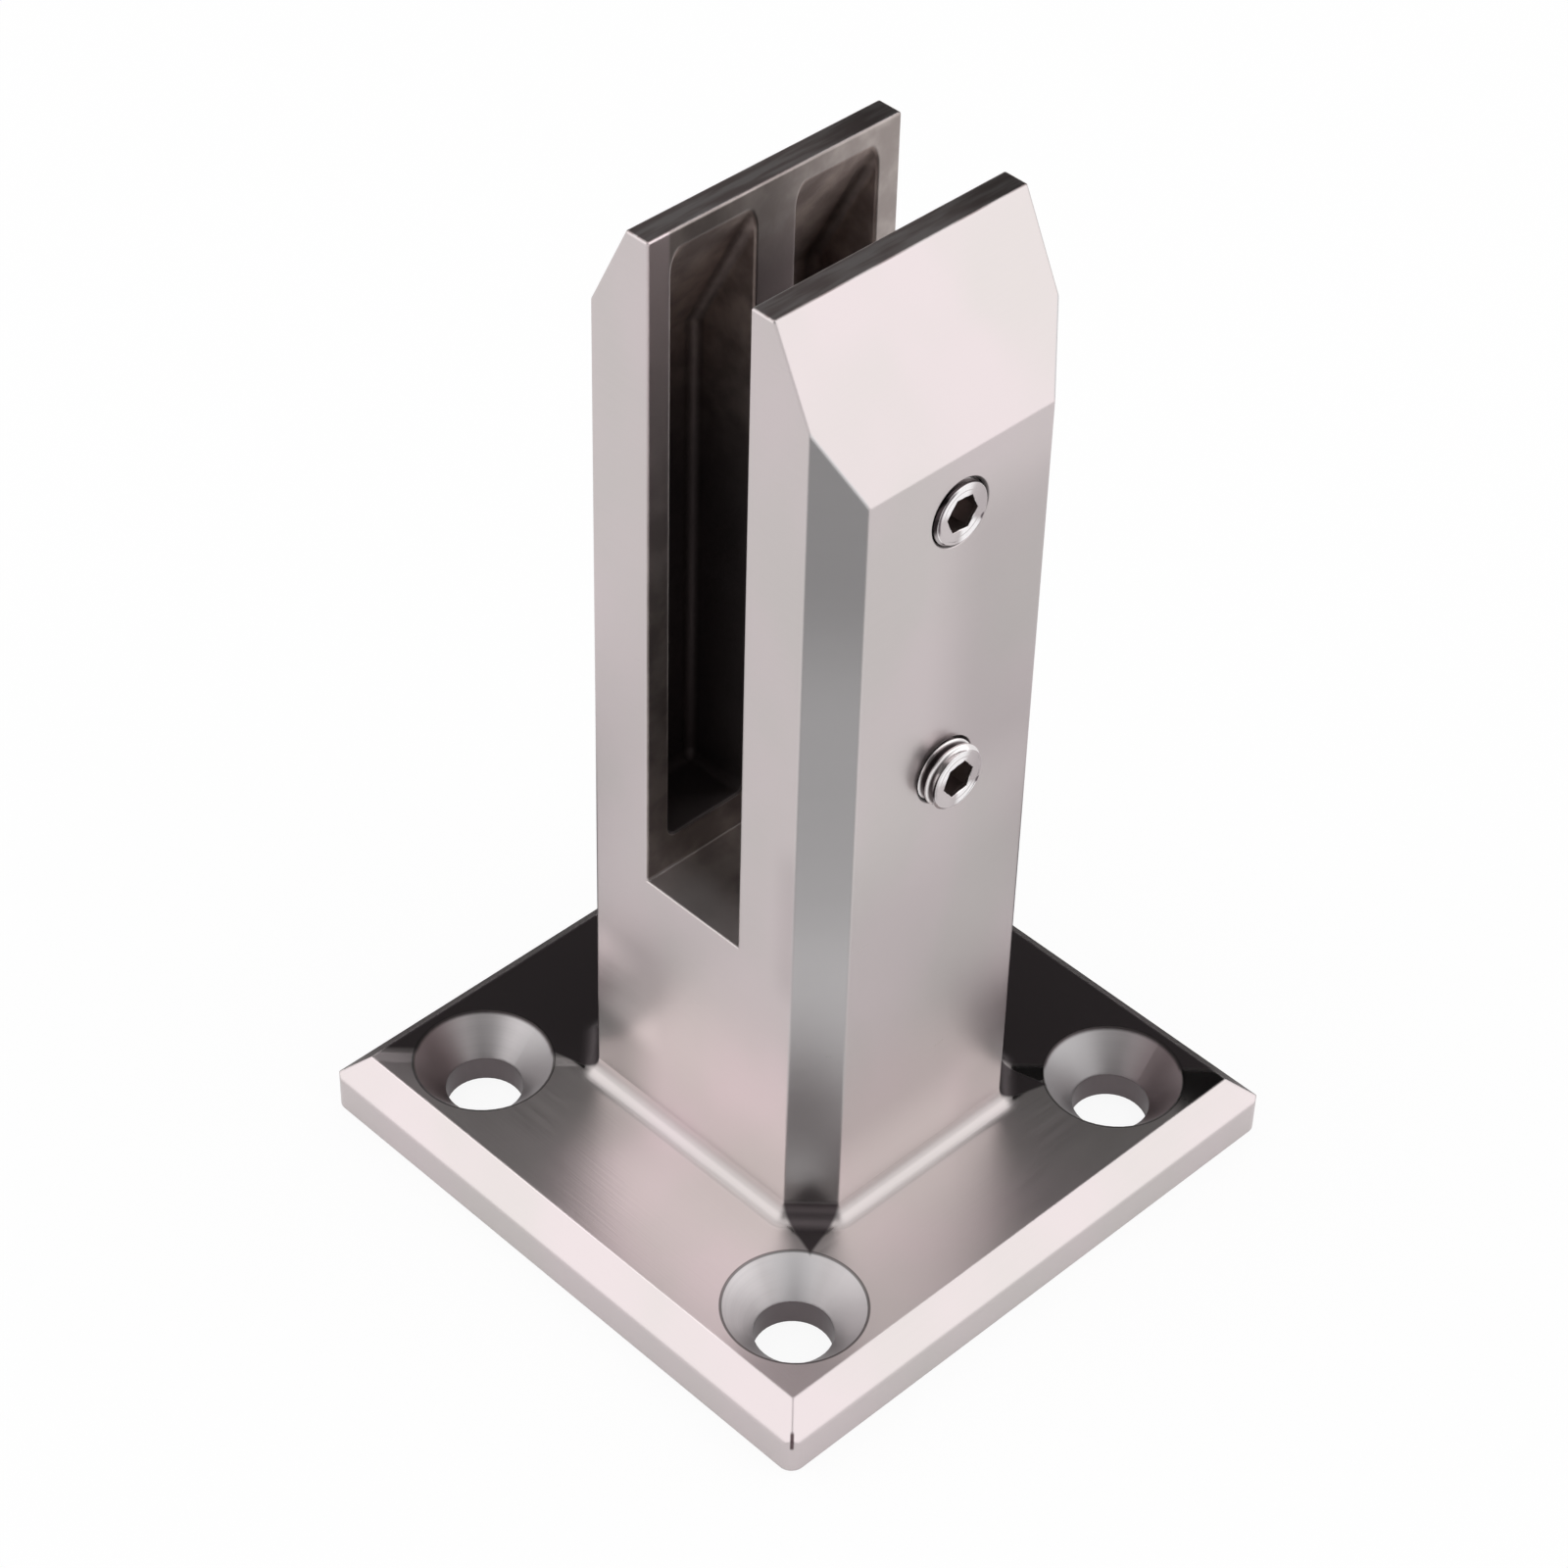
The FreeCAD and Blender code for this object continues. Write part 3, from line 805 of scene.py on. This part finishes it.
def only_reflected(obj):
    """Seen in the metal and nowhere else, as a studio card outside the picture."""
    obj.visible_camera = False
    obj.visible_diffuse = False
    obj.visible_transmission = False
    obj.visible_volume_scatter = False
    obj.visible_shadow = False


FLOOR_GLOW = 0.90
FLOOR_GLOW_MIRRORED = 0.50
FLOOR_LEVEL_MIRRORED = 0.90
FLOOR_HALF = 4.0
FLOOR_DROP = 0.00005
FLOOR_COLOURS = ((0.90, 0.90, 0.90), (0.93, 0.93, 0.93))


def background_share(s):
    """How much plain white a ray meets on the floor: nearly all for the camera, less in the metal."""
    path = s.node("ShaderNodeLightPath")
    straight = s.larger(path.outputs["Is Camera Ray"], path.outputs["Is Transmission Ray"])
    seen = s.times(straight, FLOOR_GLOW)
    mirrored = s.times(path.outputs["Is Glossy Ray"], FLOOR_GLOW_MIRRORED)
    return s.larger(seen, mirrored)


def floor_material():
    s = Shader("pale_floor")
    grain = s.noise(s.node("ShaderNodeTexCoord").outputs["Object"], 14.0, 2.0)
    matt = s.node("ShaderNodeBsdfDiffuse")
    s.feed(matt.inputs["Color"], s.colour_blend(grain, *FLOOR_COLOURS))
    glow = s.node("ShaderNodeEmission")
    glow.inputs["Color"].default_value = (1, 1, 1, 1)
    in_metal = s.node("ShaderNodeLightPath").outputs["Is Glossy Ray"]
    s.feed(glow.inputs["Strength"], s.blend(in_metal, 1.0, FLOOR_LEVEL_MIRRORED))
    s.mixed_surface(background_share(s), matt, glow)
    return s.material


corners = [
    (-FLOOR_HALF, -FLOOR_HALF, 0),
    (FLOOR_HALF, -FLOOR_HALF, 0),
    (FLOOR_HALF, FLOOR_HALF, 0),
    (-FLOOR_HALF, FLOOR_HALF, 0),
]
floor = mesh_object("studio_floor", corners, [(0, 1, 2, 3)], floor_material())
floor.location.z = -FLOOR_DROP


# Cards that only the metal reflects. They stand where the photo's faces mirror something
# dark, so from other sides the metal mirrors them elsewhere.

DISC_SIDES = 64
DISC_FACE = [tuple(range(DISC_SIDES))]


def disc_points(radius, height):
    points = []
    for i in range(DISC_SIDES):
        angle = 2 * math.pi * i / DISC_SIDES
        points.append((radius * math.cos(angle), radius * math.sin(angle), height))
    return points


def stage_card(name, points, faces, s, level, cover):
    """Card of a plain level where its cover is 1, and clear where it is 0."""
    clear = s.node("ShaderNodeBsdfTransparent")
    glow = s.node("ShaderNodeEmission")
    glow.inputs["Color"].default_value = (level, level, level, 1)
    glow.inputs["Strength"].default_value = 1.0
    s.mixed_surface(cover, clear, glow)
    card = mesh_object(name, points, faces, s.material)
    only_reflected(card)
    return card


WALL_RADIUS = 1.4
WALL_COLUMNS = 24
WALL_ROWS = 16
WALL_SOFTNESS = math.radians(14)


def dark_wall(name, azimuth, half_width, low, high, level):
    """Curved dark card, part of a sphere round the object, with soft borders. Angles in degrees."""
    azimuth = math.radians(azimuth)
    half_width = math.radians(half_width)
    low = math.radians(low)
    high = math.radians(high)
    points = []
    for j in range(WALL_ROWS + 1):
        elevation = low + (high - low) * j / WALL_ROWS
        for i in range(WALL_COLUMNS + 1):
            turn = azimuth + half_width * (2 * i / WALL_COLUMNS - 1)
            flat = WALL_RADIUS * math.cos(elevation)
            points.append((flat * math.cos(turn), flat * math.sin(turn), WALL_RADIUS * math.sin(elevation)))
    faces = []
    for j in range(WALL_ROWS):
        for i in range(WALL_COLUMNS):
            corner = j * (WALL_COLUMNS + 1) + i
            above = corner + WALL_COLUMNS + 1
            faces.append((corner, corner + 1, above + 1, above))
    s = Shader(name + "_card")
    x, y, z = s.metres()
    ahead = s.plus(s.times(x, math.cos(azimuth)), s.times(y, math.sin(azimuth)))
    aside = s.minus(s.times(y, math.cos(azimuth)), s.times(x, math.sin(azimuth)))
    off_axis = s.size(s.math("ARCTAN2", aside, ahead))
    height = s.math("ARCSINE", s.over(z, WALL_RADIUS))
    cover = s.product(
        s.step(off_axis, half_width, half_width - WALL_SOFTNESS),
        s.step(height, low, low + WALL_SOFTNESS),
        s.step(height, high, high - WALL_SOFTNESS),
    )
    stage_card(name, points, faces, s, level, cover)


dark_wall("dark_wall_behind", azimuth=45, half_width=62, low=8, high=82, level=0.012)
dark_wall("dark_wall_in_front", azimuth=225, half_width=40, low=14, high=72, level=0.05)

WEDGE_LEVEL = 0.38
WEDGE_REACH = 0.60
WEDGE_START = 0.078
WEDGE_FADE = 0.02
WEDGE_HALF_ANGLE = math.radians(27)
WEDGE_HEIGHT = 0.0006


def dark_floor_wedges():
    """Dark wedges on the floor along the diagonal that the near and far chamfers mirror."""
    s = Shader("dark_floor_card")
    x, y = s.metres()[:2]
    along = s.size(s.times(s.plus(x, y), math.sqrt(0.5)))
    aside = s.size(s.times(s.minus(x, y), math.sqrt(0.5)))
    angle = s.math("ARCTAN2", aside, along)
    cover = s.product(
        s.step(angle, WEDGE_HALF_ANGLE, WEDGE_HALF_ANGLE * 0.45),
        s.step(along, WEDGE_START, WEDGE_START + WEDGE_FADE),
        s.step(along, WEDGE_REACH, WEDGE_REACH * 0.7),
    )
    points = disc_points(WEDGE_REACH * 1.1, WEDGE_HEIGHT)
    stage_card("dark_floor_wedges", points, DISC_FACE, s, WEDGE_LEVEL, cover)


dark_floor_wedges()

SHADE_REACH = 0.45
SHADE_HEIGHT = 0.0009
PLATE_HALF = 0.050


def floor_shade(name, level, share, build_cover):
    """Flat shade just above the floor."""
    s = Shader(name + "_card")
    x, y = s.metres()[:2]
    cover = s.times(build_cover(s, x, y), share)
    stage_card(name, disc_points(SHADE_REACH * 1.1, SHADE_HEIGHT), DISC_FACE, s, level, cover)


def right_side(s, x, y):
    """Side of the floor that the screw face mirrors."""
    return s.product(
        s.step(y, -PLATE_HALF, -PLATE_HALF - 0.02),
        s.step(s.plus(x, y), -0.05, 0.02),
        s.step(s.distance(x, y), SHADE_REACH, SHADE_REACH * 0.6),
    )


def behind_plate(s, x, y):
    """Narrow strip along the two far edges of the plate."""
    outside = s.minus(s.larger(x, y), PLATE_HALF)
    return s.product(
        s.step(outside, 0.001, 0.005),
        s.step(outside, 0.060, 0.030),
        s.step(s.plus(x, y), 0.004, 0.024),
    )


floor_shade("shade_right", 0.45, 0.60, right_side)
floor_shade("shade_behind", 0.012, 1.0, behind_plate)


# Lights

BOX_RADIANCE = 0.36
BOX_ELEVATION = math.radians(30)
BOX_DISTANCE = 0.95
BOX_WIDTH = 1.05
BOX_HEIGHT = 1.45
BOX_TARGET = Vector((0, 0, 0.06))


def softbox(name, azimuth):
    """Large rectangular lamp that faces the post."""
    lamp = bpy.data.lights.new(name, "AREA")
    lamp.shape = "RECTANGLE"
    lamp.size = BOX_WIDTH
    lamp.size_y = BOX_HEIGHT
    lamp.energy = BOX_RADIANCE * 4 * BOX_WIDTH * BOX_HEIGHT
    obj = bpy.data.objects.new(name, lamp)
    flat = math.cos(BOX_ELEVATION)
    direction = Vector((math.cos(azimuth) * flat, math.sin(azimuth) * flat, math.sin(BOX_ELEVATION)))
    obj.location = direction * BOX_DISTANCE + BOX_TARGET
    obj.rotation_euler = direction.to_track_quat("Z", "Y").to_euler()
    obj.visible_camera = False
    bpy.context.scene.collection.objects.link(obj)


softbox("right_softbox", math.radians(-49))
softbox("left_softbox", math.radians(139))

WORLD_LEVEL = 0.90
WORLD_LEVEL_SEEN = 1.0


def make_world():
    """White surroundings, a little brighter where the camera or the metal sees them."""
    world = bpy.data.worlds.new("studio_world")
    world.use_nodes = True
    tree = world.node_tree
    tree.nodes.clear()
    path = tree.nodes.new("ShaderNodeLightPath")
    seen = tree.nodes.new("ShaderNodeMath")
    seen.operation = "MAXIMUM"
    tree.links.new(path.outputs["Is Camera Ray"], seen.inputs[0])
    tree.links.new(path.outputs["Is Glossy Ray"], seen.inputs[1])
    also = tree.nodes.new("ShaderNodeMath")
    also.operation = "MAXIMUM"
    tree.links.new(seen.outputs[0], also.inputs[0])
    tree.links.new(path.outputs["Is Transmission Ray"], also.inputs[1])
    strength = tree.nodes.new("ShaderNodeMapRange")
    tree.links.new(also.outputs[0], strength.inputs["Value"])
    strength.inputs["To Min"].default_value = WORLD_LEVEL
    strength.inputs["To Max"].default_value = WORLD_LEVEL_SEEN
    background = tree.nodes.new("ShaderNodeBackground")
    background.inputs["Color"].default_value = (1, 1, 1, 1)
    tree.links.new(strength.outputs["Result"], background.inputs["Strength"])
    output = tree.nodes.new("ShaderNodeOutputWorld")
    tree.links.new(background.outputs[0], output.inputs["Surface"])
    bpy.context.scene.world = world


make_world()


# Camera at the photograph's viewing angle

FOCAL_LENGTH = 95.76
CAMERA_PLACE = (-0.3184, -0.3101, 0.4620)
CAMERA_RIGHT = Vector((0.7171, -0.6966, 0.0223))
CAMERA_UP = Vector((0.4508, 0.4879, 0.7475))
CAMERA_BACK = Vector((-0.5316, -0.5259, 0.6639))

camera_data = bpy.data.cameras.new("camera")
camera_data.sensor_width = 36.0
camera_data.lens = FOCAL_LENGTH
camera_data.clip_start = 0.01
camera_data.clip_end = 50.0
camera = bpy.data.objects.new("camera", camera_data)
bpy.context.scene.collection.objects.link(camera)
basis = Matrix((CAMERA_RIGHT, CAMERA_UP, CAMERA_BACK)).transposed().to_4x4()
camera.matrix_world = Matrix.Translation(CAMERA_PLACE) @ basis
bpy.context.scene.camera = camera
bpy.context.scene.view_settings.view_transform = "Standard"
